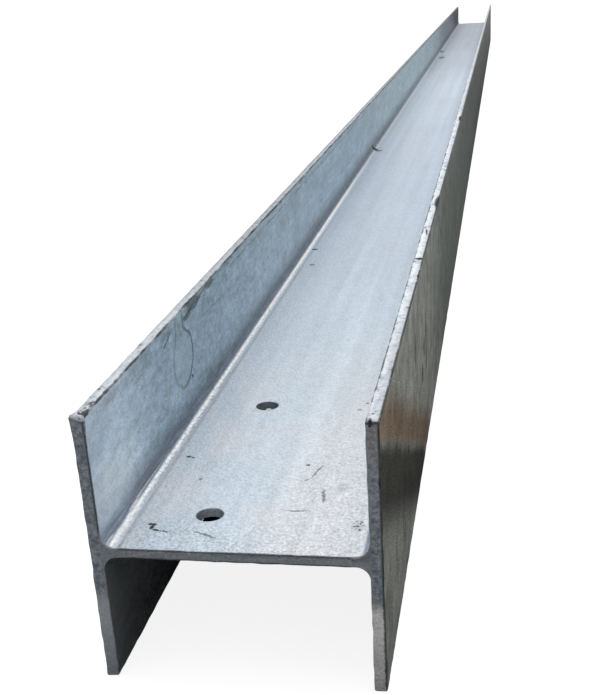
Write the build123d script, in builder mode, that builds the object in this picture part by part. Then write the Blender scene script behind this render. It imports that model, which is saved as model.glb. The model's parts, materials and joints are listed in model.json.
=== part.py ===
"""Galvanised steel h-beam post: one rolled H section with a row of bolt holes drilled through its web.

The post lies on its flange toes with the web level. X runs across the section from flange to flange,
Y runs along the post with the drilled end at -Y, and Z points up. The origin is on the floor, under
the middle of the post. All sizes are in millimetres.
"""

from build123d import *
import os

# Rolled section
post_length = 4800.0
section_depth = 152.4
flange_width = 152.2
flange_thickness = 6.8
web_thickness = 5.8
root_radius = 7.6
toe_radius = 1.2

# Sawn ends, with the sharp edges taken off before the post is dipped in zinc
end_chamfer = 0.8

# Row of bolt holes along the web, on the -X side of its centre line
hole_diameter = 15.0
hole_count = 2
hole_pitch = 155.0
hole_end_distance = 40.0
hole_offset = 22.0

# Levels and places that follow from the sizes above
flange_outer = section_depth / 2
flange_inner = flange_outer - flange_thickness
toe_height = flange_width / 2
web_face = web_thickness / 2
web_level = toe_height
hole_row_length = (hole_count - 1) * hole_pitch
hole_row_centre = -post_length / 2 + hole_end_distance + hole_row_length / 2

section_plane = Plane(origin=(0, 0, web_level), x_dir=(1, 0, 0), z_dir=(0, -1, 0))
web_top_plane = Plane(origin=(-hole_offset, hole_row_centre, web_level + web_face))

with BuildPart() as h_beam_post:
    # One quarter of the section, from the middle of the web round the toe to the middle of the flange,
    # mirrored into the whole outline
    with BuildSketch(section_plane) as section:
        with BuildLine() as outline:
            FilletPolyline(
                (0, web_face),
                (flange_inner, web_face),
                (flange_inner, toe_height),
                (flange_outer, toe_height),
                (flange_outer, 0),
                radius=[root_radius, toe_radius, toe_radius],
            )
            mirror(about=Plane.YZ)
            mirror(about=Plane.XZ)
        make_face()
    extrude(amount=post_length / 2, both=True)

    # Both sawn ends, all the way round the section
    sawn_ends = h_beam_post.faces().filter_by(Axis.Y)
    chamfer(sawn_ends.edges(), length=end_chamfer)

    # Bolt holes, drilled square through the web
    with Locations(web_top_plane):
        with GridLocations(hole_pitch, hole_pitch, 1, hole_count):
            Hole(radius=hole_diameter / 2, depth=web_thickness)

h_beam_post.part.label = "h_beam_post"

os.makedirs("parts", exist_ok=True)
export_step(h_beam_post.part, "parts/h_beam_post.step")

print(f"section area {section.sketch.area:.0f} mm2, post volume {h_beam_post.part.volume / 1e3:.0f} cm3")
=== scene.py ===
# %% [markdown]
# # A galvanised h-beam post
# This lesson dresses one length of rolled steel H section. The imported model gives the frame: how long,
# deep and wide the post is, where it lies and where its bolt holes are. Everything below is built
# around that frame, in metres, and nothing moves or resizes it.

# %% Load the frame
import json
import math
import bpy
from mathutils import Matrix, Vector


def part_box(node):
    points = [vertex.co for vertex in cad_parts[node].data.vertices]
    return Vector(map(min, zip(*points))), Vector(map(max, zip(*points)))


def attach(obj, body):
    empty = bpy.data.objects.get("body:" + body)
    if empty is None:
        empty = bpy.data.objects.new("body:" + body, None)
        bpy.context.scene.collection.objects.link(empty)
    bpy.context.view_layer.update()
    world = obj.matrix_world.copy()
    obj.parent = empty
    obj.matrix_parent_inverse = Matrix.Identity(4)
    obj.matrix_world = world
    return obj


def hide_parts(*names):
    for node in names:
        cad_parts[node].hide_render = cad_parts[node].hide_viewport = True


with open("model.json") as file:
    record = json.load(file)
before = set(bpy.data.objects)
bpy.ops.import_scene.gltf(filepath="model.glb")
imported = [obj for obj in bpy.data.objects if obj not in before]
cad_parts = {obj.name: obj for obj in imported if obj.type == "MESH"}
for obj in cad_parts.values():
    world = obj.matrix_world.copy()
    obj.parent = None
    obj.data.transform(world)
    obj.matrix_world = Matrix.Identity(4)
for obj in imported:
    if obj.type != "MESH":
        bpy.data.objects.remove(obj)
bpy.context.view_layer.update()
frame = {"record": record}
post_low, post_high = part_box("h_beam_post")
section_depth, post_length, flange_width = post_high - post_low
web_level = (post_low.z + post_high.z) / 2
near_end = post_low.y
print(f"post {post_length:.3f} m long, section {section_depth:.4f} by {flange_width:.4f} m")

# %% [markdown]
# The rolled section has a few sizes that the box can't tell: the two thicknesses and the two radii.
# They are standard for this section. The bolt holes come from the record's mount.

# %% Sizes of the section and of the bolt holes
MM = 0.001
flange_thickness = 6.8 * MM
web_thickness = 5.8 * MM
root_radius = 7.6 * MM
toe_radius = 1.2 * MM
flange_outer = section_depth / 2
flange_inner = flange_outer - flange_thickness
flange_middle = flange_outer - flange_thickness / 2
web_top = web_level + web_thickness / 2
toe_top = post_high.z

hole_mount = next(m for m in frame["record"]["mounts"] if m["name"] == "web_holes")
hole_radius = hole_mount["dims"]["hole_r_mm"] * MM
hole_count = hole_mount["dims"]["count"]
hole_pitch = hole_mount["dims"]["spacing_y_mm"] * MM
hole_row = Vector(hole_mount["pos_m"])
half_row = Vector((0, hole_pitch * (hole_count - 1) / 2, 0))
first_hole = hole_row - half_row
last_hole = hole_row + half_row
first_run = first_hole.y - near_end
print(f"{hole_count} holes of {2 * hole_radius / MM:.0f} mm, the first {first_run / MM:.0f} mm in")

# %% [markdown]
# Node trees are easier to read as formulas than as boxes and lines. `Wire` wraps one socket: adding,
# subtracting, multiplying or dividing wires adds the Math nodes, and `node` adds any other node.
# The same class serves the geometry trees and the materials.


# %% A socket that can be used in a formula
class Wire:
    """One socket of a node tree. Arithmetic on wires adds Math nodes to that tree."""

    def __init__(self, tree, socket=None):
        self.tree = tree
        self.socket = socket

    def node(self, kind, settings=None, sockets=None, output=0):
        """Adds a node: its settings first, then the values or wires of its sockets."""
        made = self.tree.nodes.new(kind)
        for name, value in (settings or {}).items():
            setattr(made, name, value)
        for name, value in (sockets or {}).items():
            target = made.inputs[name] if isinstance(name, int) else open_socket(made.inputs, name)
            if isinstance(value, Wire):
                self.tree.links.new(value.socket, target)
            else:
                target.default_value = value
        found = made.outputs[output] if isinstance(output, int) else open_socket(made.outputs, output)
        return Wire(self.tree, found)

    def math(self, operation, *values):
        return self.node("ShaderNodeMath", {"operation": operation}, dict(enumerate(values)))

    def __add__(self, other):
        return self.math("ADD", self, other)

    def __radd__(self, other):
        return self.math("ADD", other, self)

    def __sub__(self, other):
        return self.math("SUBTRACT", self, other)

    def __rsub__(self, other):
        return self.math("SUBTRACT", other, self)

    def __mul__(self, other):
        return self.math("MULTIPLY", self, other)

    def __truediv__(self, other):
        return self.math("DIVIDE", self, other)

    def __abs__(self):
        return self.math("ABSOLUTE", self)


def open_socket(sockets, name):
    """The socket of that name that the node's settings leave open."""
    return next(s for s in sockets if s.name == name and s.enabled)


def smooth(value, low, high):
    """0 below low, 1 above high, and a soft step between them."""
    limits = {"Value": value, "From Min": low, "From Max": high}
    return value.node("ShaderNodeMapRange", {"interpolation_type": "SMOOTHSTEP"}, limits)


def most(first, *others):
    """The largest of several wires."""
    for other in others:
        first = first.math("MAXIMUM", first, other)
    return first


def vector(wire, x=0.0, y=0.0, z=0.0):
    return wire.node("ShaderNodeCombineXYZ", {}, {"X": x, "Y": y, "Z": z})


def parts(wire):
    """The X, Y and Z of a vector wire."""
    split = wire.node("ShaderNodeSeparateXYZ", {}, {"Vector": wire}).socket.node
    return [Wire(wire.tree, s) for s in split.outputs]


print("wires ready")

# %% [markdown]
# A geometry tree needs named inputs, so that its sizes can be read and changed in the modifier. `rule`
# starts a tree with such inputs, `end_rule` ends it with real geometry that carries the finish, and
# `apply_rule` puts it on an object and sets each input by its socket's identifier. The finish starts
# as an empty material, which later cells fill.

# %% Helpers for geometry trees
zinc = bpy.data.materials.new("galvanised_zinc")
zinc.use_nodes = True
SOCKETS = {float: "NodeSocketFloat", int: "NodeSocketInt", Vector: "NodeSocketVector"}
SOCKETS[bpy.types.Material] = "NodeSocketMaterial"


def rule(name, sizes):
    """A geometry tree whose inputs are the object's mesh, these sizes and the finish, and those wires."""
    tree = bpy.data.node_groups.new(name, "GeometryNodeTree")
    tree.interface.new_socket("Geometry", in_out="OUTPUT", socket_type="NodeSocketGeometry")
    tree.interface.new_socket("Geometry", in_out="INPUT", socket_type="NodeSocketGeometry")
    for label, value in (sizes | {"Finish": zinc}).items():
        tree.interface.new_socket(label, in_out="INPUT", socket_type=SOCKETS[type(value)])
    start = tree.nodes.new("NodeGroupInput")
    return tree, {s.name: Wire(tree, s) for s in start.outputs if s.name}


def end_rule(geometry, finish):
    """Ends a tree: instances become real geometry, and all of it takes the finish."""
    whole = geometry.node("GeometryNodeRealizeInstances", {}, {"Geometry": geometry})
    painted = whole.node("GeometryNodeSetMaterial", {}, {"Geometry": whole, "Material": finish})
    out = painted.tree.nodes.new("NodeGroupOutput")
    painted.tree.links.new(painted.socket, out.inputs["Geometry"])


def apply_rule(piece, tree, sizes):
    """Adds the tree to the piece as a modifier, with these sizes."""
    modifier = piece.modifiers.new(tree.name, "NODES")
    modifier.node_group = tree
    values = sizes | {"Finish": zinc}
    for item in tree.interface.items_tree:
        if item.in_out == "INPUT" and item.name in values:
            modifier[item.identifier] = values[item.name]


def gathered(kind, settings, entry, *geometries):
    """A node that takes several geometries in one socket."""
    made = geometries[0].node(kind, settings)
    for geometry in geometries:
        made.tree.links.new(geometry.socket, made.socket.node.inputs[entry])
    return made


def choice(index, data_type, values):
    """The value whose place in the list is the index."""
    switch = index.node("GeometryNodeIndexSwitch", {"data_type": data_type}, {"Index": index})
    node = switch.socket.node
    while len(node.index_switch_items) < len(values):
        node.index_switch_items.new()
    for place, value in enumerate(values):
        if isinstance(value, Wire):
            index.tree.links.new(value.socket, node.inputs[place + 1])
        else:
            node.inputs[place + 1].default_value = value
    return Wire(index.tree, node.outputs[0])


print("geometry helpers ready")

# %% [markdown]
# The post is rolled: one H outline, the same all along. The outline is symmetrical twice over, so the
# tree draws a quarter of it, from the middle of the web round the toe to the middle of the flange,
# rounds its corners, and mirrors it twice. Long straights get extra points, so that the zinc can ripple
# on them later. The outline is then swept along the length, with stations packed closer at the ends,
# where the eye looks for detail.

# %% The rolled section, swept along the length
section_sizes = {
    "Length": post_length,
    "Depth": section_depth,
    "Flange width": flange_width,
    "Flange thickness": flange_thickness,
    "Web thickness": web_thickness,
    "Root radius": root_radius,
    "Toe radius": toe_radius,
    "Web level": web_level,
    "Outline step": 5 * MM,
    "Arc points": 6,
    "Stations": 320,
    "End crowding": 0.90,
}
section_tree, size = rule("rolled_section", section_sizes)
start = size["Length"]
index = start.node("GeometryNodeInputIndex")
position = start.node("GeometryNodeInputPosition")

outer = size["Depth"] / 2
inner = outer - size["Flange thickness"]
toe = size["Flange width"] / 2
half_web = size["Web thickness"] / 2
corners = [(0.0, half_web), (inner, half_web), (inner, toe), (outer, toe), (outer, 0.0)]
corner_radii = [0.0, size["Root radius"], size["Toe radius"], size["Toe radius"], 0.0]
corner_points = start.node("GeometryNodePoints", {}, {
    "Count": len(corners),
    "Position": choice(index, "VECTOR", [vector(start, x, y) for x, y in corners]),
})
quarter = start.node("GeometryNodeFilletCurve", {"mode": "POLY"}, {
    "Curve": start.node("GeometryNodePointsToCurves", {}, {"Points": corner_points}),
    "Count": size["Arc points"],
    "Radius": choice(index, "FLOAT", corner_radii),
})
outline = start.node("GeometryNodeCurveToMesh", {}, {"Curve": quarter})
for flip in ((-1, 1, 1), (1, -1, 1)):
    mirrored = start.node("GeometryNodeTransform", {}, {"Geometry": outline, "Scale": flip})
    outline = gathered("GeometryNodeJoinGeometry", {}, "Geometry", outline, mirrored)
WELD = 0.01 * MM
outline = start.node("GeometryNodeMergeByDistance", {}, {"Geometry": outline, "Distance": WELD})
outline = start.node("GeometryNodeMeshToCurve", {}, {"Mesh": outline})

next_point = start.node("GeometryNodeOffsetPointInCurve", {}, {
    "Point Index": index, "Offset": 1}, "Point Index")
next_place = start.node("GeometryNodeFieldAtIndex", {"data_type": "FLOAT_VECTOR"}, {
    "Value": position, "Index": next_point})
straight = start.node("ShaderNodeVectorMath", {"operation": "DISTANCE"}, {
    0: position, 1: next_place}, "Value")
cuts = start.math("FLOOR", straight / size["Outline step"])
outline = start.node("GeometryNodeSubdivideCurve", {}, {"Curve": outline, "Cuts": cuts})

rail = start.node("GeometryNodeCurvePrimitiveLine", {}, {
    "Start": vector(start, y=size["Length"] * -0.5), "End": vector(start, y=size["Length"] * 0.5)})
rail = start.node("GeometryNodeResampleCurve", {}, {"Curve": rail, "Count": size["Stations"]})
along = start.node("GeometryNodeSplineParameter", {}, {}, "Factor")
wave = start.math("SINE", along * math.tau) / math.tau
station = (along - size["End crowding"] * wave - 0.5) * size["Length"]
rail = start.node("GeometryNodeSetPosition", {}, {"Geometry": rail, "Position": vector(start, y=station)})

swept = start.node("GeometryNodeCurveToMesh", {}, {
    "Curve": rail, "Profile Curve": outline, "Fill Caps": True})
swept = start.node("GeometryNodeFlipFaces", {}, {"Mesh": swept})
lifted = start.node("GeometryNodeSetPosition", {}, {
    "Geometry": swept, "Offset": vector(start, z=size["Web level"])})
end_rule(lifted, size["Finish"])

post = bpy.data.objects.new("galvanised_post", bpy.data.meshes.new("galvanised_post"))
bpy.context.scene.collection.objects.link(post)
apply_rule(post, section_tree, section_sizes)
print(f"section tree of {len(section_tree.nodes)} nodes on {post.name}")

# %% [markdown]
# A saw leaves a sharp arris, which is filed off before the post is dipped. A Bevel modifier that looks
# only at steep edges finds exactly the rims of the two ends.

# %% The filed rims of the sawn ends
filed_rims = post.modifiers.new("filed_rims", "BEVEL")
filed_rims.limit_method = "ANGLE"
filed_rims.angle_limit = math.radians(60)
filed_rims.width = 0.7 * MM
filed_rims.segments = 3
filed_rims.use_clamp_overlap = False
print(f"ends filed by {filed_rims.width / MM:.1f} mm")

# %% [markdown]
# The zinc bath leaves a skin that is never quite flat. It ripples a little on the broad faces, and it
# gathers in lumps along the toes and round the sawn ends, where the molten zinc drained off. At one
# corner of the drilled end it froze into a thick lip.

# %% The zinc skin
zinc_sizes = {
    "Web level": web_level,
    "Toe height": flange_width / 2,
    "Half length": post_length / 2,
    "Floor": post_low.z,
    "Ripple": 0.10 * MM,
    "Lump": 0.45 * MM,
    "Toe zone": 4 * MM,
    "End lump": 0.75 * MM,
    "End zone": 5 * MM,
    "Lip": 1.2 * MM,
    "Lip reach": 13 * MM,
    "Lip place": Vector((-flange_middle, near_end, toe_top)),
    "Seed": Vector((3.1, 7.7, 1.9)),
}
zinc_tree, size = rule("zinc_skin", zinc_sizes)
start = size["Geometry"]
position = start.node("GeometryNodeInputPosition")
normal = start.node("GeometryNodeInputNormal")
x, y, z = parts(position)
toe_height, half_run = size["Toe height"], size["Half length"]
toe_zone = smooth(abs(z - size["Web level"]), toe_height - size["Toe zone"], toe_height)
end_zone = smooth(abs(y), half_run - size["End zone"], half_run)
RIPPLE_SCALE, LUMP_SCALE, LIP_SCALE = (45, 16, 45), (150, 110, 150), (260, 260, 260)


def swell(scale, detail):
    """Noise of about -1 to 1, with its own scale along each axis, per metre."""
    seeded = start.node("ShaderNodeVectorMath", {"operation": "MULTIPLY_ADD"}, {
        0: position, 1: scale, 2: size["Seed"]})
    noise = start.node("ShaderNodeTexNoise", {}, {"Vector": seeded, "Scale": 1.0, "Detail": detail})
    return (noise - 0.5) * 2


ripples = swell(RIPPLE_SCALE, 2.0) * size["Ripple"]
lumps = swell(LUMP_SCALE, 2.0) * most(toe_zone * size["Lump"], end_zone * size["End lump"])
from_lip = start.node("ShaderNodeVectorMath", {"operation": "DISTANCE"}, {
    0: position, 1: size["Lip place"]}, "Value")
lip = (1 - smooth(from_lip, 0.0, size["Lip reach"])) * size["Lip"] * (swell(LIP_SCALE, 1.0) + 0.8)
skin = start.node("ShaderNodeVectorMath", {"operation": "SCALE"}, {
    0: normal, "Scale": ripples + lumps + lip})
coated = start.node("GeometryNodeSetPosition", {}, {"Geometry": start, "Offset": skin})
on_floor = vector(start, x, y, most(z, size["Floor"]))
coated = start.node("GeometryNodeSetPosition", {}, {"Geometry": coated, "Position": on_floor})
end_rule(coated, size["Finish"])
apply_rule(post, zinc_tree, zinc_sizes)
print(f"zinc skin with lumps of up to {zinc_sizes['End lump'] / MM:.2f} mm")

# %% [markdown]
# The bolt holes are drilled, and the zinc rounds their rims. A straight cutter would leave a sharp rim,
# so the cutter flares out by a small radius where it meets the two faces of the web. One cutter is
# instanced along the row, the instances are realized, and a boolean takes them out of the post.

# %% The drilled bolt holes
drill_sizes = {
    "First hole": first_hole,
    "Pitch": hole_pitch,
    "Count": hole_count,
    "Radius": hole_radius,
    "Web thickness": web_thickness,
    "Rim": 0.7 * MM,
    "Cutter sides": 72,
    "Cutter rings": 40,
}
drill_tree, size = rule("drilled_holes", drill_sizes)
start = size["Geometry"]
x, y, z = parts(start.node("GeometryNodeInputPosition"))
cutter = start.node("GeometryNodeMeshCylinder", {}, {
    "Vertices": size["Cutter sides"],
    "Side Segments": size["Cutter rings"],
    "Radius": 1.0,
    "Depth": size["Web thickness"] * 2,
})
rim_depth = (abs(z) - size["Web thickness"] / 2) / size["Rim"] + 1
rim_depth = start.node("ShaderNodeClamp", {}, {"Value": rim_depth})
flare = 1 - start.math("SQRT", 1 - rim_depth * rim_depth)
turned = size["Radius"] + flare * size["Rim"]
cutter = start.node("GeometryNodeSetPosition", {}, {
    "Geometry": cutter, "Position": vector(start, x * turned, y * turned, z)})
row = start.node("GeometryNodeMeshLine", {}, {
    "Count": size["Count"],
    "Start Location": size["First hole"],
    "Offset": vector(start, y=size["Pitch"]),
})
cutters = start.node("GeometryNodeInstanceOnPoints", {}, {"Points": row, "Instance": cutter})
cutters = start.node("GeometryNodeRealizeInstances", {}, {"Geometry": cutters})
drilled = start.node("GeometryNodeMeshBoolean", {"operation": "DIFFERENCE", "solver": "EXACT"}, {
    "Mesh 1": start, "Mesh 2": cutters})
end_rule(drilled, size["Finish"])
apply_rule(post, drill_tree, drill_sizes)
print(f"{hole_count} holes drilled, {hole_pitch / MM:.0f} mm apart")

# %% [markdown]
# The post has been moved about with slings and forks. Its toes carry a long nick, a cracked spot, a few
# pits in the edge and a notch at the corner, and gas left four dimples in the thick zinc lip. A bead of
# zinc froze on the rim of the second hole. Each is an ellipsoid, given by its place and its half sizes:
# the knocks are cut out and the bead is added.

# %% Knocks in the toes and a bead of zinc
right_edge = flange_outer + 0.2 * MM
KNOCKS = [
    ((right_edge, near_end + 487 * MM, toe_top), (2.0 * MM, 13 * MM, 2.6 * MM)),
    ((right_edge, near_end + 252 * MM, toe_top), (1.2 * MM, 3.0 * MM, 1.6 * MM)),
    ((right_edge, near_end + 149 * MM, toe_top), (1.1 * MM, 2.5 * MM, 1.5 * MM)),
    ((flange_outer - 1.7 * MM, near_end + 297 * MM, toe_top), (2.2 * MM, 1.6 * MM, 1.0 * MM)),
    ((flange_outer - 4.2 * MM, near_end - 0.3 * MM, toe_top + 0.2 * MM), (1.2 * MM, 1.5 * MM, 2.0 * MM)),
]
LIP_DIMPLES = [(-72.1, 2.2), (-72.8, 4.9), (-73.0, 8.0), (-72.4, 11.0)]
DIMPLE_HALF = (0.9 * MM, 1.2 * MM, 1.0 * MM)
lip_top = toe_top + 1.0 * MM
for across, along in LIP_DIMPLES:
    KNOCKS.append(((across * MM, near_end + along * MM, lip_top), DIMPLE_HALF))
bead_place = (last_hole.x + 2.5 * MM, last_hole.y - hole_radius + 0.2 * MM, web_top)
BEADS = [(bead_place, (2.4 * MM, 1.0 * MM, 0.9 * MM))]
knock_sizes = {"Roundness": 3}
knock_tree, size = rule("knocks_and_beads", knock_sizes)
start = size["Geometry"]
index = start.node("GeometryNodeInputIndex")
ball = start.node("GeometryNodeMeshIcoSphere", {}, {"Radius": 1.0, "Subdivisions": size["Roundness"]})


def ellipsoids(shapes):
    """One ellipsoid for each place and its half sizes."""
    places = [place for place, half_sizes in shapes]
    half_sizes = [half_sizes for place, half_sizes in shapes]
    if len(shapes) > 1:
        places = choice(index, "VECTOR", places)
        half_sizes = choice(index, "VECTOR", half_sizes)
    else:
        places, half_sizes = places[0], half_sizes[0]
    points = start.node("GeometryNodePoints", {}, {"Count": len(shapes), "Position": places})
    balls = start.node("GeometryNodeInstanceOnPoints", {}, {
        "Points": points, "Instance": ball, "Scale": half_sizes})
    return start.node("GeometryNodeRealizeInstances", {}, {"Geometry": balls})


union = {"operation": "UNION", "solver": "EXACT"}
beaded = gathered("GeometryNodeMeshBoolean", union, "Mesh", start, ellipsoids(BEADS))
knocked = start.node("GeometryNodeMeshBoolean", {"operation": "DIFFERENCE", "solver": "EXACT"}, {
    "Mesh 1": beaded, "Mesh 2": ellipsoids(KNOCKS)})
end_rule(knocked, size["Finish"])
apply_rule(post, knock_tree, knock_sizes)
print(f"{len(KNOCKS)} knocks and {len(BEADS)} bead")

# %% [markdown]
# The surface is shaded smoothly, apart from the two sawn faces, which are flat, and the steep edges of
# the knocks. Then the whole stack of modifiers is turned into one plain mesh.

# %% Shading, and the plain mesh
shading_sizes = {"Flat from": 0.98, "Sharp from": math.radians(40)}
shading_tree, size = rule("smooth_shading", shading_sizes)
start = size["Geometry"]
lengthwise = parts(start.node("GeometryNodeInputNormal"))[1]
rolled = start.math("LESS_THAN", abs(lengthwise), size["Flat from"])
steep = start.node("GeometryNodeInputMeshEdgeAngle", {}, {}, "Unsigned Angle")
steep = start.math("GREATER_THAN", steep, size["Sharp from"])
shaded = start.node("GeometryNodeSetShadeSmooth", {"domain": "FACE"}, {
    "Geometry": start, "Shade Smooth": rolled})
shaded = start.node("GeometryNodeSetShadeSmooth", {"domain": "EDGE"}, {
    "Geometry": shaded, "Selection": steep, "Shade Smooth": False})
end_rule(shaded, size["Finish"])
apply_rule(post, shading_tree, shading_sizes)

depsgraph = bpy.context.evaluated_depsgraph_get()
post_mesh = bpy.data.meshes.new_from_object(post.evaluated_get(depsgraph))
post.modifiers.clear()
post.data = post_mesh
triangles = sum(len(face.vertices) - 2 for face in post_mesh.polygons)
print(f"post mesh of {triangles} triangles with {[m.name for m in post_mesh.materials]}")

# %% [markdown]
# Now the finish. It is one procedural material that reads the post's own axes in millimetres, so each
# stain and scratch has a place on the real object. `cloud` is noise with lumps of a given size, `blend`
# mixes two colours and `shade` makes a colour lighter or darker.

# %% The finish's own axes and helpers
look = Wire(zinc.node_tree)
shader = zinc.node_tree.nodes["Principled BSDF"]
place = look.node("ShaderNodeTexCoord", {}, {}, "Object")
place = look.node("ShaderNodeVectorMath", {"operation": "SCALE"}, {0: place, "Scale": 1 / MM})
x, y, z = parts(place)
rise = z - web_level / MM
run = y - near_end / MM
facing = parts(look.node("ShaderNodeNewGeometry", {}, {}, "Normal"))
half_length = post_length / 2 / MM
half_width = flange_width / 2 / MM
outer = flange_outer / MM
inner = flange_inner / MM


def cloud(lump, seed, detail=2.0, rough=0.5, stretch=(1, 1, 1), output="Fac"):
    """Noise about 0.5 with lumps of about that many millimetres, stretched along the axes."""
    scale = [1 / (lump * s) for s in stretch]
    moved = look.node("ShaderNodeVectorMath", {"operation": "MULTIPLY_ADD"}, {
        0: place, 1: scale, 2: (seed, seed, seed)})
    return look.node("ShaderNodeTexNoise", {}, {
        "Vector": moved, "Scale": 1.0, "Detail": detail, "Roughness": rough}, output)


def bell(value, centre, reach):
    """1 at the centre, falling to 0 at that reach on both sides."""
    return 1 - smooth(abs(value - centre), 0.0, reach)


def blend(mask, below, above):
    """Puts one colour over another where the mask is 1."""
    colours = {"Factor": mask, "A": below, "B": above}
    colours = {name: (*value, 1) if isinstance(value, tuple) else value for name, value in colours.items()}
    return look.node("ShaderNodeMix", {"data_type": "RGBA"}, colours, "Result")


def shade(colour, factor):
    """A colour times a number."""
    return look.node("ShaderNodeVectorMath", {"operation": "SCALE"}, {0: colour, "Scale": factor})


print(f"finish on {half_length * 2:.0f} mm of post")

# %% [markdown]
# The finish differs from face to face, so it needs to know where it is. Masks of 0 to 1 tell the sawn
# ends, the toes, the outer faces, the walls between the flanges and the rounded roots apart, from the
# place on the section and from how far the surface leans. All places are in millimetres.

# %% Masks for the faces of the section
on_end = smooth(abs(y), half_length - 1.0, half_length - 0.3)
on_toe = smooth(abs(rise), half_width - 1.5, half_width - 0.6)
on_outer = smooth(abs(x), outer - 0.9, outer - 0.4)
between = 1 - smooth(abs(x), inner + 0.4, inner + 1.2)
lean = abs(facing[0])
on_wall = smooth(lean, 0.3, 0.85)
root_start = inner - root_radius / MM
near_web = 1 - smooth(abs(rise), 11.0, 13.0)
in_root = between * smooth(abs(x), root_start - 1.0, root_start + 1.0) * near_web
on_top = smooth(rise, 0.0, 1.0)
on_left = smooth(x * -1, 0.0, 1.0)
print("masks ready")

# %% [markdown]
# Hot-dip zinc on heavy steel is never one grey. Slow clouds drift along the post, smaller ones mottle
# it, long streaks follow the drawing-out from the bath, and a fine grain like orange peel covers all of
# it. One number, the tone, gathers them, and every colour is multiplied by it.

# %% The tone of the zinc
grain = cloud(1.5, 3.0, 1.0, 0.6) - 0.5
speckle = cloud(6.0, 31.0, 3.0, 0.7, (1, 2.5, 1)) - 0.5
mottle = cloud(60.0, 21.0, 3.0, 0.6, (1, 2, 1)) - 0.5
drift = cloud(420.0, 5.0, 1.0) - 0.5
streaks = cloud(14.0, 41.0, 2.0, 0.6, (1, 60, 1)) - 0.5
tone = 1 + grain * (0.65 - on_wall * 0.25) + speckle * (0.20 + on_wall * 0.40)
tone = tone + mottle * 0.16 + drift * 0.12 + streaks * 0.34 * (1 - on_wall)
print("tone ready")

# %% [markdown]
# The level web is the palest part. Near the drilled end a patch of painted light brightens it towards the
# right flange, and there its grain is coarser and the zinc is finely wrinkled, with the wrinkles drawn as
# lines of painted shade. Further along it has a paler band, and it dulls slowly along the length. Each
# pair of places along the post tells where a change starts and ends, counted from the drilled end.

# %% The web
WEB_NEAR, WEB_FAR, WEB_LAST = (0.645, 0.725, 0.80), (0.56, 0.635, 0.725), (0.41, 0.46, 0.535)
WEB_PAINTED_LIGHT, WEB_BLUSH = (0.80, 0.80, 0.82), (0.76, 0.74, 0.765)
DULLING, LAST_DULLING = (150.0, 1000.0), (1900.0, 4000.0)
LIGHT_PATCH_ACROSS, LIGHT_PATCH_ENDS, BLUSH_ENDS = (-15.0, 45.0), (110.0, 420.0), (150.0, 380.0)
WRINKLES_END, COARSE_ENDS = (8.0, 50.0), (60.0, 200.0)
PALE_MIDDLE, PALE_REACH, PALE_STARTS = 30.0, 16.0, (300.0, 1100.0)
web = blend(smooth(run, *DULLING), WEB_NEAR, WEB_FAR)
web = blend(smooth(run, *LAST_DULLING), web, WEB_LAST)
# Painted light: the web is made lighter towards the right flange near the drilled end.
painted_light_patch = smooth(x, *LIGHT_PATCH_ACROSS) * (1 - smooth(run, *LIGHT_PATCH_ENDS)) * on_top
blush = smooth(mottle, -0.04, 0.12) * (1 - smooth(run, *BLUSH_ENDS))
front_strip = 1 - smooth(run + mottle * 60, *WRINKLES_END)
coarse_zinc = painted_light_patch * (1 - smooth(run, *COARSE_ENDS)) * 0.8
wrinkled = most(front_strip, coarse_zinc)
# Painted shade: the wrinkles are drawn as dark lines, as light would shade their relief.
wrinkle_shade = bell(speckle, 0.0, 0.035) * wrinkled
pale_band = bell(x, PALE_MIDDLE, PALE_REACH) * smooth(run, *PALE_STARTS)
web = blend(blush * 0.5, web, WEB_BLUSH)
web = blend(painted_light_patch * 0.75, web, WEB_PAINTED_LIGHT)
web = shade(web, 1 - wrinkle_shade * 0.16 + grain * wrinkled * 0.5 + pale_band * 0.07)
print("web coloured")

# %% [markdown]
# The walls between the flanges are a bluer grey. They are palest low down near the drilled end, have a
# fine chalky peel over the first metre, and turn grey and then, with painted shadow, dark towards the far
# end. Below the web they are plain.

# %% The walls between the flanges
WALL_NEAR, WALL_PALE, WALL_MIDDLE = (0.68, 0.79, 0.90), (0.88, 0.96, 1.0), (0.42, 0.54, 0.63)
WALL_FAR, WALL_LAST, WALL_GREY = (0.55, 0.66, 0.735), (0.615, 0.715, 0.755), (0.39, 0.43, 0.47)
WALL_FAR_SHADE, WALL_BELOW, WALL_CHALK = (0.07, 0.09, 0.10), (0.36, 0.39, 0.41), (0.60, 0.66, 0.70)
WALL_CHANGES = [(220.0, 500.0, WALL_FAR), (900.0, 1600.0, WALL_LAST), (2800.0, 3600.0, WALL_GREY)]
wall = blend(smooth(run, 40.0, 130.0), WALL_NEAR, WALL_MIDDLE)
wall = blend(bell(run, 25.0, 60.0) * bell(rise, 27.0, 26.0) * 0.9, wall, WALL_PALE)
for starts, ends, next_colour in WALL_CHANGES:
    wall = blend(smooth(run, starts, ends), wall, next_colour)
# Painted shadow darkens the walls near the far end.
wall = blend(smooth(run + rise * 4, 4100.0, 4700.0), wall, WALL_FAR_SHADE)
wall = blend(on_top, WALL_BELOW, wall)
wall_streaks = cloud(2.6, 43.0, 2.0, 0.6, (1, 60, 1)) - 0.5
wall_clouds = cloud(16.0, 47.0, 4.0, 0.65, (1, 2.5, 1)) - 0.5
wall_peel = cloud(4.0, 49.0, 4.0, 0.75, (1, 1.8, 1)) - 0.5
peeling = smooth(run, 20.0, 80.0) * (1 - smooth(run, 200.0, 900.0))
wall = shade(wall, 1 + wall_streaks * (0.15 + smooth(run, 150.0, 400.0) * 0.3) + wall_clouds * 0.75)
wall = shade(wall, 1 + wall_peel * peeling * 1.5)
wall = blend(smooth(wall_peel, 0.0, 0.2) * peeling * 0.30, wall, WALL_CHALK)
colour = blend(on_wall, web, wall)
print("walls coloured")
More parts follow.
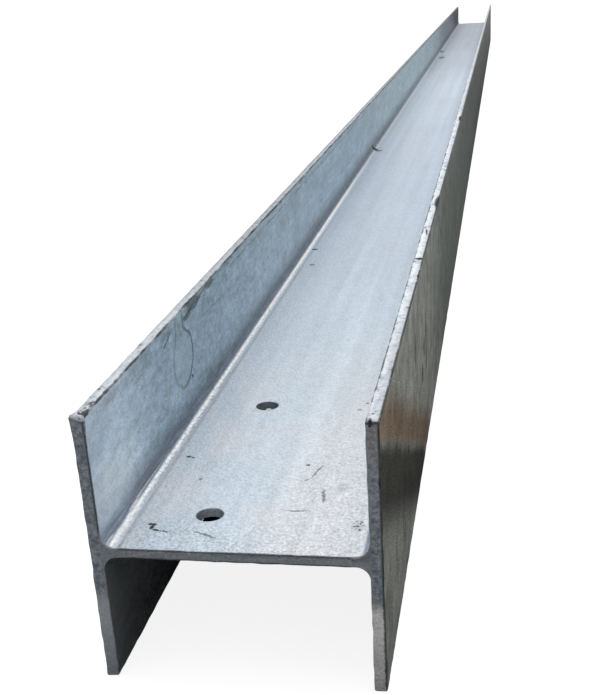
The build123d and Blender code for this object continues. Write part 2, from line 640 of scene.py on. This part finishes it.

# %% [markdown]
# Along each root the zinc is glossier at the foot of the curve, and a painted highlight runs bright there,
# most of all near the drilled end. Higher up the curve a streaked band of painted shade darkens it, and
# more painted shade fades out up the wall. On the left a few painted bright hairs cross the shaded band
# near the drilled end, and a thin darker line follows the foot of the curve on the web.

# %% The painted highlight and the painted shade along each root
SHADE_BAND_DARK, SHADE_BAND_PALE = (0.145, 0.175, 0.225), (0.235, 0.27, 0.335)
HIGHLIGHT_DARK, HIGHLIGHT_PALE = (0.70, 0.76, 0.83), (1.0, 1.0, 1.0)
# Painted highlight along the foot of each root, where the zinc is also glossier.
highlight_and_gloss = in_root * smooth(lean, 0.04, 0.10) * (1 - smooth(lean, 0.38, 0.62)) * (0.4 + on_left * 0.6)
highlight_and_gloss = highlight_and_gloss * (1 - smooth(run, 700.0, 1300.0) * 0.9)
# Painted shade: a dark band high on the curve of each root.
shade_band = between * smooth(lean, 0.42, 0.70) * (1 - smooth(abs(rise), 6.0, 14.0))
shade_band = shade_band * (1 - smooth(run, 1200.0, 2200.0) * 0.35)
# Painted shade on the wall, fading out upwards from the root.
root_shade = between * on_wall * (1 - smooth(abs(rise), 9.0, 26.0))
foot_line = bell(abs(x), root_start - 1.2, 2.2) * (1 - smooth(lean, 0.03, 0.12)) * on_left
foot_line = foot_line * (1 - smooth(run, 600.0, 900.0))
sparkle = cloud(1.7, 57.0, 1.0, 0.6, (1, 1.6, 1))
along_root = cloud(1.2, 53.0, 2.0, 0.6, (1, 22, 1))
sparkle = sparkle - smooth(run, 40.0, 90.0) * 0.05
# The colour of the painted highlight.
painted_highlight = blend(smooth(sparkle, 0.35, 0.48), HIGHLIGHT_DARK, HIGHLIGHT_PALE)
shade_band_colour = blend(smooth(along_root, 0.36, 0.64), SHADE_BAND_DARK, SHADE_BAND_PALE)
shade_band_colour = shade(shade_band_colour, 1.28 - smooth(run, 25.0, 60.0) * 0.38)
on_curve = in_root * smooth(lean, 0.4, 0.5) * (1 - smooth(lean, 0.62, 0.85))
highlight_hairs = smooth(along_root, 0.50, 0.58) * on_curve * (1 - smooth(run, 40.0, 140.0)) * on_left
colour = shade(colour, 1 - root_shade * (0.10 + smooth(run, 15.0, 90.0) * 0.30) - foot_line * 0.25)
colour = blend(shade_band * 0.95, colour, shade_band_colour)
colour = blend(most(highlight_and_gloss, highlight_hairs * 0.7), colour, painted_highlight)
print("roots coloured")

# %% [markdown]
# The toes are rough and chalky, with dark pits and a crusty corner at the drilled end. A thin dark line
# follows the crease where they round over into the wall, and the outer edge of the right toe. Under the
# upper left toe dirt has run down the wall in ragged patches, two of them near the drilled end.

# %% The toes
TOE_DULL, TOE_CHALK = (0.51, 0.555, 0.615), (0.735, 0.78, 0.835)
TOE_CRUST = (0.36, 0.37, 0.40)
PIT, DARK_LINE = (0.09, 0.09, 0.10), (0.04, 0.045, 0.05)
FACE_PLAIN = (0.40, 0.42, 0.41)
chalk = cloud(5.0, 61.0, 3.0, 0.65, (1, 1.6, 1))
ragged = cloud(6.0, 73.0, 4.0, 0.65, (1, 3.5, 1))
crust = on_left * (1 - smooth(run, 15.0, 80.0))
pits = 1 - smooth(chalk - crust * 0.06, 0.30, 0.37)
toe = blend(smooth(chalk, 0.34, 0.58), TOE_DULL, TOE_CHALK)
toe = blend(crust * (1 - smooth(chalk, 0.36, 0.48)) * 0.7, toe, TOE_CRUST)
toe = shade(toe, 1.08 - on_left * 0.16 - smooth(abs(x), inner + 2.4, outer - 0.8) * 0.20)
along_toe = smooth(run, 80.0, 300.0) * (0.13 - on_left * 0.33)
toe = shade(toe, 1 + along_toe - smooth(run, 700.0, 2500.0) * 0.25)
toe = blend(pits * 0.8, toe, PIT)
colour = blend(on_outer, colour, FACE_PLAIN)
colour = blend(on_toe, colour, toe)

near_toe = smooth(abs(rise), half_width - 10, half_width - 8)
from_crease = (abs(x) - inner) + (half_width - abs(rise)) + (ragged - 0.5) * (2.5 + crust * 2.5)
crease = (1 - smooth(from_crease, 0.5, 1.3)) * near_toe
edge_height = smooth(abs(rise), half_width - 2.6, half_width - 1.4)
edge_line = smooth(abs(x), outer - 1.0, outer - 0.5) * edge_height * (1 - on_left)
edge_line = edge_line * smooth(ragged, 0.30, 0.46) * (1 - smooth(run, 500.0, 1200.0) * 0.5)
print("toes coloured")

# %% [markdown]
# Each patch of dirt is an ellipse on the wall. Noise that is stretched along the post, as the wind and
# the rain drew the dirt out, frays its edge.

# %% The dirt under the upper left toe
GRIME_DARK, GRIME_PALE = (0.055, 0.06, 0.045), (0.22, 0.245, 0.19)
SMUDGE_DARK, SMUDGE_PALE = (0.11, 0.135, 0.15), (0.24, 0.29, 0.32)
left_wall = between * on_left * on_wall * on_top
below_toe = half_width - rise
settled = smooth(mottle, -0.02, 0.14) * 7 + 2.0
lip_dirt = (1 - smooth(below_toe, settled * 0.2, settled)) * 0.5
lip_line = bell(below_toe + (ragged - 0.5) * 6, 7.0, 1.6) * smooth(run, 200.0, 320.0)
lip_line = lip_line * (1 - smooth(run, 900.0, 1700.0)) * 0.6


def clump(along, height, half_along, half_height):
    """1 at the middle of a patch on the left wall, falling off to its edge."""
    along = (run - along) / half_along
    up = (z - height) / half_height
    return 1 - smooth(look.math("SQRT", along * along + up * up), 0.3, 1.2)


grime = most(
    clump(203.0, 148.0, 24.0, 5.5),
    clump(187.0, 144.5, 14.0, 3.5) * 0.8,
    clump(247.0, 149.5, 17.0, 4.0),
    clump(168.0, 141.0, 8.0, 9.0) * 0.55,
    clump(104.0, 146.0, 14.0, 7.0) * 0.55,
    clump(80.0, 145.0, 40.0, 10.0) * 0.45,
    clump(40.0, 147.0, 26.0, 6.0) * 0.45,
    clump(140.0, 146.5, 16.0, 3.5) * 0.6,
    lip_dirt,
    lip_line,
)
frayed = cloud(1.7, 75.0, 3.0, 0.7, (1, 9.0, 1)) - 0.5
grime = smooth(grime + frayed * (0.9 + smooth(run, 120.0, 180.0) * 1.3), 0.15, 0.95) * left_wall
smudge = blend(smooth(ragged + frayed, 0.35, 0.70), SMUDGE_DARK, SMUDGE_PALE)
grime_colour = blend(smooth(ragged + frayed, 0.35, 0.70), GRIME_DARK, GRIME_PALE)
grime_colour = blend(bell(run, 215.0, 75.0), smudge, grime_colour)
colour = blend(grime * 0.8, colour, grime_colour)
colour = blend(crease * 0.92, colour, DARK_LINE)
colour = blend(edge_line * 0.85, colour, DARK_LINE)
print("dirt laid")

# %% [markdown]
# Water has pooled on the left wall and dried, with a neck up to the toe. The stain is the outline of
# that pool, an ellipse joined to a strip, drawn where the distance to its edge is close to zero. It is
# darkest on the side away from the drilled end, where the water stood longest.

# %% The dried pool on the left wall
POOL_RUN, POOL_HEIGHT, POOL_HALF = 171.5, 121.0, (21.5, 18.5)
NECK_RUN, NECK_HALF, NECK_BLEND = 168.0, 8.0, 7.0
STAIN_RIM, STAIN_INSIDE = (0.085, 0.125, 0.16), (0.46, 0.55, 0.59)
across_pool = (run - POOL_RUN) / POOL_HALF[0]
up_pool = (z - POOL_HEIGHT) / POOL_HALF[1]
to_pool = (look.math("SQRT", across_pool * across_pool + up_pool * up_pool) - 1) * POOL_HALF[1]
to_neck = most(abs(run - NECK_RUN) - NECK_HALF, POOL_HEIGHT - z)
to_stain = look.math("SMOOTH_MIN", to_pool, to_neck, NECK_BLEND) + (ragged - 0.5) * 5
rim_strength = 0.45 + smooth(across_pool, -0.6, 0.6) * 0.40
stain_rim = (1 - smooth(abs(to_stain), 0.2, 2.2)) * left_wall * rim_strength
stain_inside = (1 - smooth(to_stain, -1.0, 0.5)) * left_wall
colour = blend(stain_inside * 0.4, colour, STAIN_INSIDE)
colour = blend(stain_rim, colour, STAIN_RIM)
print(f"pool of {2 * POOL_HALF[0]:.0f} by {2 * POOL_HALF[1]:.0f} mm")

# %% [markdown]
# The sawn ends are a dead, mottled grey. Towards the feet they are smooth, where the zinc drained off, and
# painted pale, as if lit from in front and below.
# The right flange is browner at its top and darker where the web meets it.

# %% The sawn ends
END_GREY, END_BLUE = (0.385, 0.415, 0.45), (0.235, 0.28, 0.335)
END_FEET_LIGHT, END_BROWN = (0.93, 0.93, 0.94), (0.40, 0.36, 0.34)
END_LEFT_FEET_LIGHT = (0.52, 0.56, 0.61)
CORNER_X, CORNER_HEIGHT = 66.0, 82.0
sawn = cloud(2.8, 81.0, 4.0, 0.7) - 0.5
on_right = 1 - on_left
smooth_lit_feet = 1 - smooth(rise + sawn * 14, -31.0, -21.0)
end_grey = blend(smooth(sawn, -0.10, 0.10), END_BLUE, END_GREY)
end_grey = blend(smooth(rise, 48.0, 66.0) * on_right * 0.5, end_grey, END_BROWN)
end_grey = shade(end_grey, 1 + sawn * 1.2)
end_grey = blend(between * 0.6, end_grey, END_GREY)
# Painted light: the feet of the ends are made pale.
end_grey = blend(smooth_lit_feet, end_grey, blend(on_right, END_LEFT_FEET_LIGHT, END_FEET_LIGHT))
corner_across, corner_up = x - CORNER_X, z - CORNER_HEIGHT
from_corner = look.math("SQRT", corner_across * corner_across + corner_up * corner_up)
end_grey = shade(end_grey, 1 - (1 - smooth(from_corner, 2.0, 9.0)) * 0.35)
glints = smooth(grain, 0.20, 0.26) * (1 - smooth_lit_feet)
end_grey = blend(glints * 0.6, end_grey, TOE_CHALK)
print("ends mixed")

# %% [markdown]
# Dark lines follow the rims of the ends. At the upper left corner the thick lip hangs over the end and
# stays as chalky as the toe. Dark specks break the front edge of the web.

# %% The rims of the ends
SPECK = (0.11, 0.115, 0.12)
outer_arris = smooth(x + sawn * 2, outer - 1.5, outer - 0.7)
inner_arris = bell(x + sawn * 2, -inner - 0.5, 0.9) * smooth(rise, 6.0, 14.0)
web_arris = bell(abs(rise) + sawn * 2, 2.5, 1.0) * (1 - smooth(abs(x), root_start - 3.0, root_start))
lip_edge = half_width - 0.9 - on_left * (0.2 + smooth(x, -outer, -inner) * 1.6)
under_lip = on_left * (1 - smooth(x, -outer + 1.5, -inner))
top_arris = bell(rise + sawn * 3, lip_edge, 1.2) * (1 - under_lip * 0.7)
end_grey = blend(most(outer_arris, inner_arris, top_arris, web_arris) * 0.85, end_grey, DARK_LINE)
hanging_lip = on_left * smooth(rise + sawn * 3 - lip_edge, 0.0, 0.7)
colour = blend(on_end * (1 - hanging_lip), colour, end_grey)
colour = blend(on_end * hanging_lip, colour, toe)

front_edge = (1 - smooth(run, 0.9, 1.8)) * on_top * between * (1 - on_wall)
colour = blend(front_edge * smooth(sawn, 0.0, 0.2) * 0.6, colour, SPECK)
print("ends coloured")

# %% [markdown]
# The outer face of the right flange carries painted reflections near the drilled end: slanting bands, a
# dark one under a brown one. Past them it is palest, and further along it turns a dull grey that is
# darkened partly by painted shade, most of all towards its top. The other outer face is plain all over.

# %% The outer faces
FACE_NEAR, FACE_FAR, FACE_LAST = (0.515, 0.535, 0.495), (0.38, 0.43, 0.40), (0.25, 0.285, 0.275)
FACE_DARK_REFLECTION, FACE_BROWN_REFLECTION = (0.05, 0.05, 0.042), (0.39, 0.28, 0.19)
BAND_SLOPE = 0.46
PALEST_RUN, PALEST_REACH = 340.0, 300.0
on_right_face = on_outer * on_right * (1 - on_toe) * (1 - on_end)
face_mottle = cloud(22.0, 87.0, 4.0, 0.7) - 0.5
slant = z + run * BAND_SLOPE + face_mottle * 11
# The dark band and the brown band are painted reflections.
dark_reflection_band = smooth(slant, 80.0, 112.0) * (1 - smooth(slant, 134.0, 149.0))
brown_reflection_band = smooth(slant, 138.0, 149.0) * (1 - smooth(slant, 156.0, 180.0))
face_grey = blend(smooth(run, 320.0, 700.0), FACE_NEAR, FACE_FAR)
face_grey = blend(smooth(run, 700.0, 2600.0), face_grey, FACE_LAST)
# Painted shade darkens the face further along, most of all towards its top.
top_face_shade = smooth(z, 50.0, 140.0) * smooth(run, 500.0, 1500.0)
palest = bell(run, PALEST_RUN, PALEST_REACH)
face_grey = shade(face_grey, 1 + palest * 0.26 - top_face_shade * 0.5)
face_grey = blend(dark_reflection_band * 0.93, face_grey, FACE_DARK_REFLECTION)
face_grey = blend(brown_reflection_band * 0.9, face_grey, FACE_BROWN_REFLECTION)
face_grey = shade(face_grey, 1 + face_mottle * 2.0)
colour = blend(on_right_face * (1 - edge_line), colour, face_grey)
print("outer faces coloured")

# %% [markdown]
# Inside the bolt holes painted shade darkens the bores. The distance to the nearer hole's axis finds their
# bores.

# %% The bores of the bolt holes
BORE_SHADE = (0.33, 0.38, 0.42)
first_across, last_across = x - first_hole.x / MM, x - last_hole.x / MM
first_along, last_along = y - first_hole.y / MM, y - last_hole.y / MM
from_first = look.math("SQRT", first_across * first_across + first_along * first_along)
from_last = look.math("SQRT", last_across * last_across + last_along * last_along)
from_axis = look.math("MINIMUM", from_first, from_last)
in_bore = 1 - smooth(from_axis, hole_radius / MM - 0.1, hole_radius / MM + 0.5)
# Painted shade inside the bores.
colour = blend(in_bore, colour, BORE_SHADE)
print(f"bores of {2 * hole_radius / MM:.0f} mm")

# %% [markdown]
# Handling has left scratches, flecks and smudges, most of them on the web near the drilled end, and the
# knocks in the toes have gone dark. Each is an ellipsoid with a ragged edge, placed by its distance
# across from the centre line, along from the drilled end and up from the floor.

# %% Helpers for marks
MARK_WANDER, MARK_DEPTH = 2.5, 2.5
wander = look.node("ShaderNodeVectorMath", {"operation": "SUBTRACT"}, {
    0: cloud(2.5, 91.0, 1.0, output="Color"), 1: (0.5, 0.5, 0.5)})
wandering = look.node("ShaderNodeVectorMath", {"operation": "MULTIPLY_ADD"}, {
    0: wander, 1: (MARK_WANDER, MARK_WANDER, MARK_WANDER), 2: place})
web_face = web_top / MM
toe_face = toe_top / MM


def mark(middle, half_sizes, turn=(0, 0, 0)):
    """1 inside a ragged ellipsoid that is turned by those angles."""
    across, along, height = middle
    local = look.node("ShaderNodeMapping", {"vector_type": "TEXTURE"}, {
        "Vector": wandering,
        "Location": (across, near_end / MM + along, height),
        "Rotation": turn,
        "Scale": half_sizes,
    })
    reach = look.node("ShaderNodeVectorMath", {"operation": "LENGTH"}, {0: local}, "Value")
    return 1 - smooth(reach, 0.7, 1.2)


def spot(across, along, half_across, half_along):
    """A mark on the top of the web."""
    return mark((across, along, web_face), (half_across, half_along, MARK_DEPTH))


def face_smudge(along, height, half_along, half_height):
    """A mark on the right outer face."""
    return mark((outer, along, height), (MARK_DEPTH, half_along, half_height))


def scratch(start, end, half_thickness):
    """A thin mark from one place on the web to another."""
    run_across, run_along = end[0] - start[0], end[1] - start[1]
    middle = ((start[0] + end[0]) / 2, (start[1] + end[1]) / 2, web_face)
    half = math.hypot(run_across, run_along) / 2
    turn = (0, 0, math.atan2(run_along, run_across))
    return mark(middle, (half, half_thickness, MARK_DEPTH), turn)


def wall_scratch(start, end, half_thickness):
    """A thin mark on the left wall, between two places along and up it."""
    run_along, run_up = end[0] - start[0], end[1] - start[1]
    middle = (-inner, (start[0] + end[0]) / 2, (start[1] + end[1]) / 2)
    half = math.hypot(run_along, run_up) / 2
    turn = (math.atan2(run_up, run_along), 0, 0)
    return mark(middle, (MARK_DEPTH, half, half_thickness), turn)


print("mark helpers ready")

# %% [markdown]
# The marks come in three groups: dark ones, faint ones at two thirds of that strength, and those that
# lie in the knocks.

# %% Scratches, flecks and smudges
MARK_DARK, FAINT = (0.02, 0.022, 0.025), 0.65
dark_marks = most(
    spot(-50.4, 27.0, 2.4, 1.3),
    spot(-49.4, 24.0, 1.2, 2.6),
    scratch((-49, 21.5), (-44, 20.0), 0.9),
    scratch((-45, 20.2), (-39, 19.2), 0.6),
    spot(-53.6, 112.0, 1.3, 1.3),
    spot(-50.8, 111.0, 1.3, 1.1),
    spot(-58.0, 1246.0, 6.0, 5.0),
    mark((-64.5, 1256.0, 84.0), (5.5, 13.0, 8.0)),
    spot(-58.8, 621.0, 3.5, 3.0),
    spot(21.0, 104.3, 1.3, 1.3),
    spot(59.5, 32.0, 3.0, 7.0) * smooth(grain, 0.0, 0.09),
    mark((75.5, 0.0, 120.0), (0.7, 1.5, 2.4)),
    face_smudge(295.0, 86.0, 6.0, 8.5),
    face_smudge(277.0, 72.0, 5.0, 8.5),
    mark((-inner, 186.8, 103.0), (3.0, 1.8, 1.0)),
)
faint_marks = most(
    scratch((22.2, 83.1), (26.2, 87.0), 0.7),
    scratch((25.5, 86.0), (29.8, 104.7), 0.7),
    scratch((35.0, 74.0), (37.6, 57.0), 1.0),
    scratch((18.7, 46.4), (31.1, 47.3), 0.9),
    scratch((-26.3, 21.1), (-12.2, 14.6), 0.9),
    spot(-38.2, 82.2, 1.2, 1.6),
    spot(-51.7, 559.0, 3.0, 3.0),
    spot(41.0, 190.0, 1.2, 1.4),
    spot(45.0, 201.0, 1.0, 1.4),
    spot(45.0, 76.0, 4.0, 7.0) * smooth(grain, 0.02, 0.12) * 0.7,
    spot(-50.0, 2962.0, 9.0, 40.0),
    spot(-62.0, 3190.0, 8.0, 45.0),
    face_smudge(316.0, 82.0, 7.0, 24.0),
    face_smudge(215.0, 112.0, 5.0, 14.0),
    wall_scratch((154, 147), (128, 139), 0.9),
    wall_scratch((260, 150), (244, 147.5), 0.7),
    wall_scratch((242, 151), (219, 148), 0.8),
    wall_scratch((238, 150), (228, 144), 0.6),
    wall_scratch((221, 149), (204, 144), 0.8),
    wall_scratch((203, 148), (182, 144), 0.7),
    wall_scratch((219, 133), (291, 130), 0.5) * 0.6,
)
knock_marks = most(
    mark((outer, 495.0, toe_face), (3.2, 28.0, 4.0)),
    mark((73.4, 380.0, toe_face), (0.7, 12.0, 1.5), (0, 0, 0.09)),
    mark((73.5, 297.0, toe_face), (3.0, 2.6, 1.5)),
    mark((outer, 252.0, toe_face), (1.2, 4.0, 2.0)),
    mark((outer, 1037.0, toe_face), (2.6, 24.0, 3.5)),
    mark((71.8, 0.0, toe_face - 1.2), (1.0, 2.0, 2.2)),
    mark((72.3, 9.5, toe_face), (0.9, 1.3, 1.5)),
    *[mark((across, along, toe_face + 1.0), (1.0, 1.2, 2.0)) for across, along in LIP_DIMPLES],
)
marks = most(dark_marks, faint_marks * FAINT, knock_marks)
colour = blend(marks * 0.95, colour, MARK_DARK)
print("marks placed")

# %% [markdown]
# Relief and gloss finish the material. The grain and the speckle are real bumps of a few hundredths of a
# millimetre, and the toes and ends are coarser. Zinc is a dull metal: bright in the roots, satin on the
# faces, and almost without gloss on the ends and where it is dirty. The right outer face is a little
# glossier further along.

# %% Relief and gloss
GRAIN_HEIGHT, SPECKLE_HEIGHT, CHALK_HEIGHT = 0.80, 0.70, 0.45
ZINC_METAL, ROOT_METAL, ZINC_SPECULAR = 0.30, 0.65, 0.25
ZINC_ROUGH, ROOT_GLOSS, DIRT_ROUGH, CLOUD_ROUGH, FACE_GLOSS = 0.50, 0.22, 0.18, 0.10, 0.13
coarse = most(on_toe, on_end)
height = (grain * GRAIN_HEIGHT + speckle * SPECKLE_HEIGHT) * (1 - most(highlight_and_gloss, on_end) * 0.6)
height = height + (chalk - 0.5) * CHALK_HEIGHT * coarse * (1 - smooth_lit_feet)
bump = look.node("ShaderNodeBump", {}, {"Height": height, "Distance": MM, "Strength": 1.0})
gloss_loss = most(coarse * (1 - smooth_lit_feet * 0.3), marks, grime, crease)
metallic = (ZINC_METAL + highlight_and_gloss * ROOT_METAL) * (1 - gloss_loss * 0.65)
face_gloss = on_right_face * (smooth(run, 150.0, 600.0) + smooth(run, 800.0, 2500.0) * 0.6)
roughness = ZINC_ROUGH - highlight_and_gloss * ROOT_GLOSS + gloss_loss * DIRT_ROUGH
roughness = roughness + mottle * CLOUD_ROUGH - face_gloss * FACE_GLOSS
shader.inputs["Specular IOR Level"].default_value = ZINC_SPECULAR
tree = zinc.node_tree
tree.links.new(shade(colour, tone).socket, shader.inputs["Base Color"])
tree.links.new(bump.socket, shader.inputs["Normal"])
tree.links.new(metallic.socket, shader.inputs["Metallic"])
tree.links.new(roughness.socket, shader.inputs["Roughness"])
print(f"zinc finish of {len(tree.nodes)} nodes")

# %% [markdown]
# The camera looks along the post from above its drilled end, a little to the right. Its lens is shifted
# upwards, as in a picture that was cropped off centre.

# %% The camera
CAMERA_PLACE, CAMERA_TURN = (0.1305, -2.8588, 0.3492), (68.21, 3.20, 9.82)
LENS, LENS_SHIFT = 55.8, 0.0755
NEAREST_SEEN, FARTHEST_SEEN = 0.01, 1000
camera = bpy.data.objects.new("camera", bpy.data.cameras.new("camera"))
camera.location = CAMERA_PLACE
camera.rotation_euler = [math.radians(angle) for angle in CAMERA_TURN]
camera.data.lens = LENS
camera.data.shift_y = LENS_SHIFT
camera.data.clip_start = NEAREST_SEEN
camera.data.clip_end = FARTHEST_SEEN
bpy.context.scene.collection.objects.link(camera)
bpy.context.scene.camera = camera
bpy.context.scene.view_settings.view_transform = "Standard"
print(f"camera {near_end - camera.location.y:.2f} m from the drilled end")

# %% [markdown]
# The light is soft and comes from above. The world is brightest overhead, and shows as plain white to the
# camera and in reflections.

# %% The light
SKY_LEVEL = 2.1
LIGHT_FROM = Vector((-0.12, 0.28, 0.95)).normalized()
world = bpy.data.worlds.new("studio")
bpy.context.scene.world = world
world.use_nodes = True
sky = Wire(world.node_tree)
background = world.node_tree.nodes["Background"]
background.inputs["Color"].default_value = (1, 1, 1, 1)


def seen(wire):
    """1 for rays that show the stage: from the camera, off gloss or through glass."""
    paths = wire.node("ShaderNodeLightPath").socket.node
    kinds = ("Is Camera Ray", "Is Glossy Ray", "Is Transmission Ray")
    return most(*[Wire(wire.tree, paths.outputs[kind]) for kind in kinds])


direction = sky.node("ShaderNodeTexCoord", {}, {}, "Generated")
towards_light = sky.node("ShaderNodeVectorMath", {"operation": "DOT_PRODUCT"}, {
    0: direction, 1: LIGHT_FROM}, "Value")
soft_light = most(towards_light, 0.0)
shown = seen(sky)
level = soft_light * soft_light * SKY_LEVEL * (1 - shown) + shown
world.node_tree.links.new(level.socket, background.inputs["Strength"])
print(f"sky of level {SKY_LEVEL}")

# %% [markdown]
# The stage is a white floor. It glows where the camera or a reflection sees it, and as a lit surface it
# also keeps the post's shadow.

# %% The floor
FLOOR_REACH, FLOOR_GREY, FLOOR_GLOW = 200, 0.30, 0.87


def flat_sheet(name, low, high, height, grey):
    """The paint and the shader of a level, matt rectangle on the stage, and the rectangle itself."""
    sheet = bpy.data.meshes.new(name)
    corners = [(low[0], low[1]), (high[0], low[1]), (high[0], high[1]), (low[0], high[1])]
    sheet.from_pydata([(*corner, height) for corner in corners], [], [(0, 1, 2, 3)])
    made = bpy.data.objects.new(name, sheet)
    bpy.context.scene.collection.objects.link(made)
    paint = bpy.data.materials.new(name)
    paint.use_nodes = True
    sheet.materials.append(paint)
    matt = paint.node_tree.nodes["Principled BSDF"]
    matt.inputs["Base Color"].default_value = (grey, grey, grey, 1)
    matt.inputs["Roughness"].default_value = 1.0
    matt.inputs["Specular IOR Level"].default_value = 0.0
    return paint.node_tree, matt, made


floor_low, floor_high = (-FLOOR_REACH, -FLOOR_REACH), (FLOOR_REACH, FLOOR_REACH)
paper, surface, _ = flat_sheet("floor", floor_low, floor_high, post_low.z, FLOOR_GREY)
surface.inputs["Emission Color"].default_value = (1, 1, 1, 1)
glow = seen(Wire(paper)) * FLOOR_GLOW
paper.links.new(glow.socket, surface.inputs["Emission Strength"])
print(f"floor {2 * FLOOR_REACH} m across")

# %% [markdown]
# Bare metal takes its tone from what it mirrors. A photographer lays dark cards beside it to give its
# sides depth. One card lies round the post, out of the camera's sight and casting no shadow, and lets
# light pass from below. Another, a sheet of painted shade, lies deep under the web and shows through the
# bolt holes.

# %% The dark cards
CARD_REACH, CARD_BEFORE, CARD_STOP, CARD_LIFT, CARD_GREY = 0.8, 0.05, 9.0, 0.3 * MM, 0.03
SHADE_SHEET_INSET, SHADE_SHEET_START, SHADE_SHEET_STOP, SHADE_SHEET_LIFT, SHADE_SHEET_GREY = 0.3 * MM, 0.14, 0.3, 0.6 * MM, 0.01
card_low, card_high = (-CARD_REACH, near_end - CARD_BEFORE), (CARD_REACH, CARD_STOP)
ink, surface, card = flat_sheet("dark_card", card_low, card_high, post_low.z + CARD_LIFT, CARD_GREY)
card.visible_camera = False
card.visible_shadow = False
one_sided = Wire(ink)
behind = one_sided.node("ShaderNodeNewGeometry", {}, {}, "Backfacing")
clear = one_sided.node("ShaderNodeBsdfTransparent")
front = Wire(ink, surface.outputs["BSDF"])
skin = one_sided.node("ShaderNodeMixShader", {}, {0: behind, 1: front, 2: clear})
ink.links.new(skin.socket, ink.nodes["Material Output"].inputs["Surface"])

# A dark sheet of painted shade under the web, seen in the tunnel and through the bolt holes.
shade_sheet_low = (-flange_inner + SHADE_SHEET_INSET, near_end + SHADE_SHEET_START)
shade_sheet_high = (flange_inner - SHADE_SHEET_INSET, post_high.y - SHADE_SHEET_STOP)
flat_sheet("shade_sheet_under_web", shade_sheet_low, shade_sheet_high, post_low.z + SHADE_SHEET_LIFT, SHADE_SHEET_GREY)
print("cards laid")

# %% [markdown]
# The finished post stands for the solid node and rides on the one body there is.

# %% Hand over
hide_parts("h_beam_post")
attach(post, "root")
